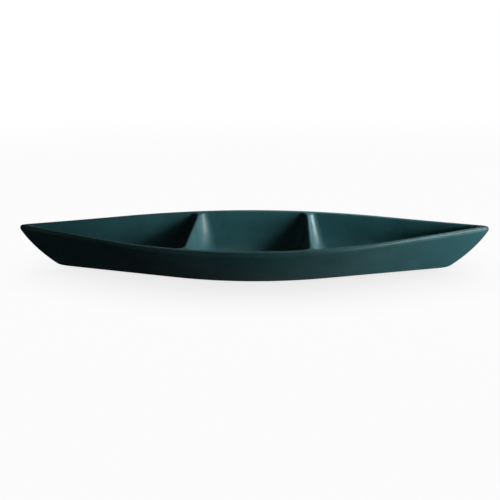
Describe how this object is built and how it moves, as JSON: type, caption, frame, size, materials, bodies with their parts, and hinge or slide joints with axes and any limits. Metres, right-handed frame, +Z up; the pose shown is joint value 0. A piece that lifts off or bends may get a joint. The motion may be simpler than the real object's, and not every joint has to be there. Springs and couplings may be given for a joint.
{
  "type": "serving boat",
  "caption": "Long canoe-shaped glazed ceramic dish with pointed ends, flared walls and low cross walls that part it into open compartments for dips and condiments.",
  "frame": {"origin": "on the table, under the middle of the dish", "axes": "+X along the boat towards its right tip, -Y towards the viewer of the picture, +Z up"},
  "size_m": [0.4108, 0.125, 0.0405],
  "materials": {
    "teal_glaze": "satin dark teal glaze",
    "bare_clay": "bare fired clay, smoothed"
  },
  "bodies": {
    "root": {"hull_shell": "teal_glaze", "left_divider": "teal_glaze", "right_divider": "teal_glaze", "foot_ring": "bare_clay"}
  },
  "joints": []
}
